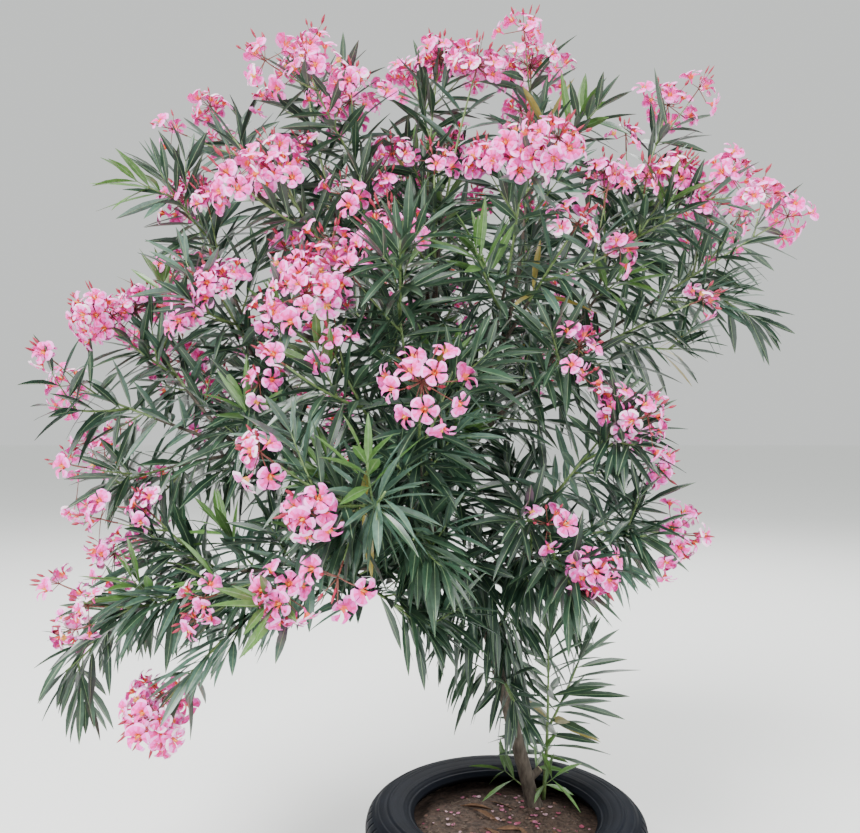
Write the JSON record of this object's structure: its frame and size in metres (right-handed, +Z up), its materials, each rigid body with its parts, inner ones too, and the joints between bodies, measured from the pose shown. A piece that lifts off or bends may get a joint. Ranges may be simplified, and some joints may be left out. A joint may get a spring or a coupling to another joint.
{
  "type": "potted oleander",
  "caption": "Oleander in pink flower: one leaning stem under a broad, open crown of long narrow leaves, rooted in soil inside a car tyre laid flat as a planter.",
  "frame": {"origin": "middle of the flat underside of the tyre and its soil, where they stand", "axes": "+Z up along the plant's height; -Y towards the viewer; +X to the viewer's right"},
  "size_m": [1.7358, 1.1764, 1.9977],
  "materials": {
    "rubber": "weathered blue-black rubber, dusty",
    "soil": "dark brown garden soil, crumbly",
    "bark": "grey-brown bark, lightly fissured",
    "foliage": "leathery dark green leaves with pink flowers"
  },
  "bodies": {
    "root": {"tyre": "rubber", "soil": "soil", "trunk": "bark", "bough_main_up": "bark", "bough_left": "bark", "bough_low_left": "bark", "bough_front": "bark", "bough_low_right": "bark", "bough_up_mid": "bark", "bough_up_left": "bark", "bough_up_right": "bark", "bough_back": "bark", "bough_right": "bark", "bough_left_out": "bark", "bough_left_up": "bark", "mass_top": "foliage", "mass_top_front": "foliage", "mass_back_top": "foliage", "mass_centre_high": "foliage", "mass_top_left": "foliage", "mass_upper_left": "foliage", "mass_upper_mid": "foliage", "mass_left_up": "foliage", "mass_back_left_top": "foliage", "mass_top_right": "foliage", "mass_back_right_top": "foliage", "mass_mid_right": "foliage", "mass_mid_upper": "foliage", "mass_right_tip": "foliage", "mass_right_upper": "foliage", "mass_right_low": "foliage", "mass_right": "foliage", "mass_right_inner": "foliage", "mass_left_upper_outer": "foliage", "mass_left_mid": "foliage", "mass_left_mid_up": "foliage", "mass_left_tip": "foliage", "mass_left_shoulder": "foliage", "mass_left_low_tip": "foliage", "mass_left_inner": "foliage", "mass_back_left": "foliage", "mass_low_left_tip": "foliage", "mass_low_left_upper": "foliage", "mass_low_left_foot": "foliage", "mass_low_left_mid": "foliage", "mass_low_front": "foliage", "mass_front_low": "foliage", "mass_front_left": "foliage", "mass_centre_front": "foliage", "mass_centre_low": "foliage", "mass_centre_left": "foliage", "mass_centre_left_up": "foliage", "mass_low_right_tip": "foliage", "mass_right_front": "foliage", "mass_low_right": "foliage", "mass_back_mid": "foliage", "mass_back_right": "foliage", "mass_back_low": "foliage", "mass_trunk_shoot": "foliage", "mass_basal_shoot": "foliage"}
  },
  "joints": []
}
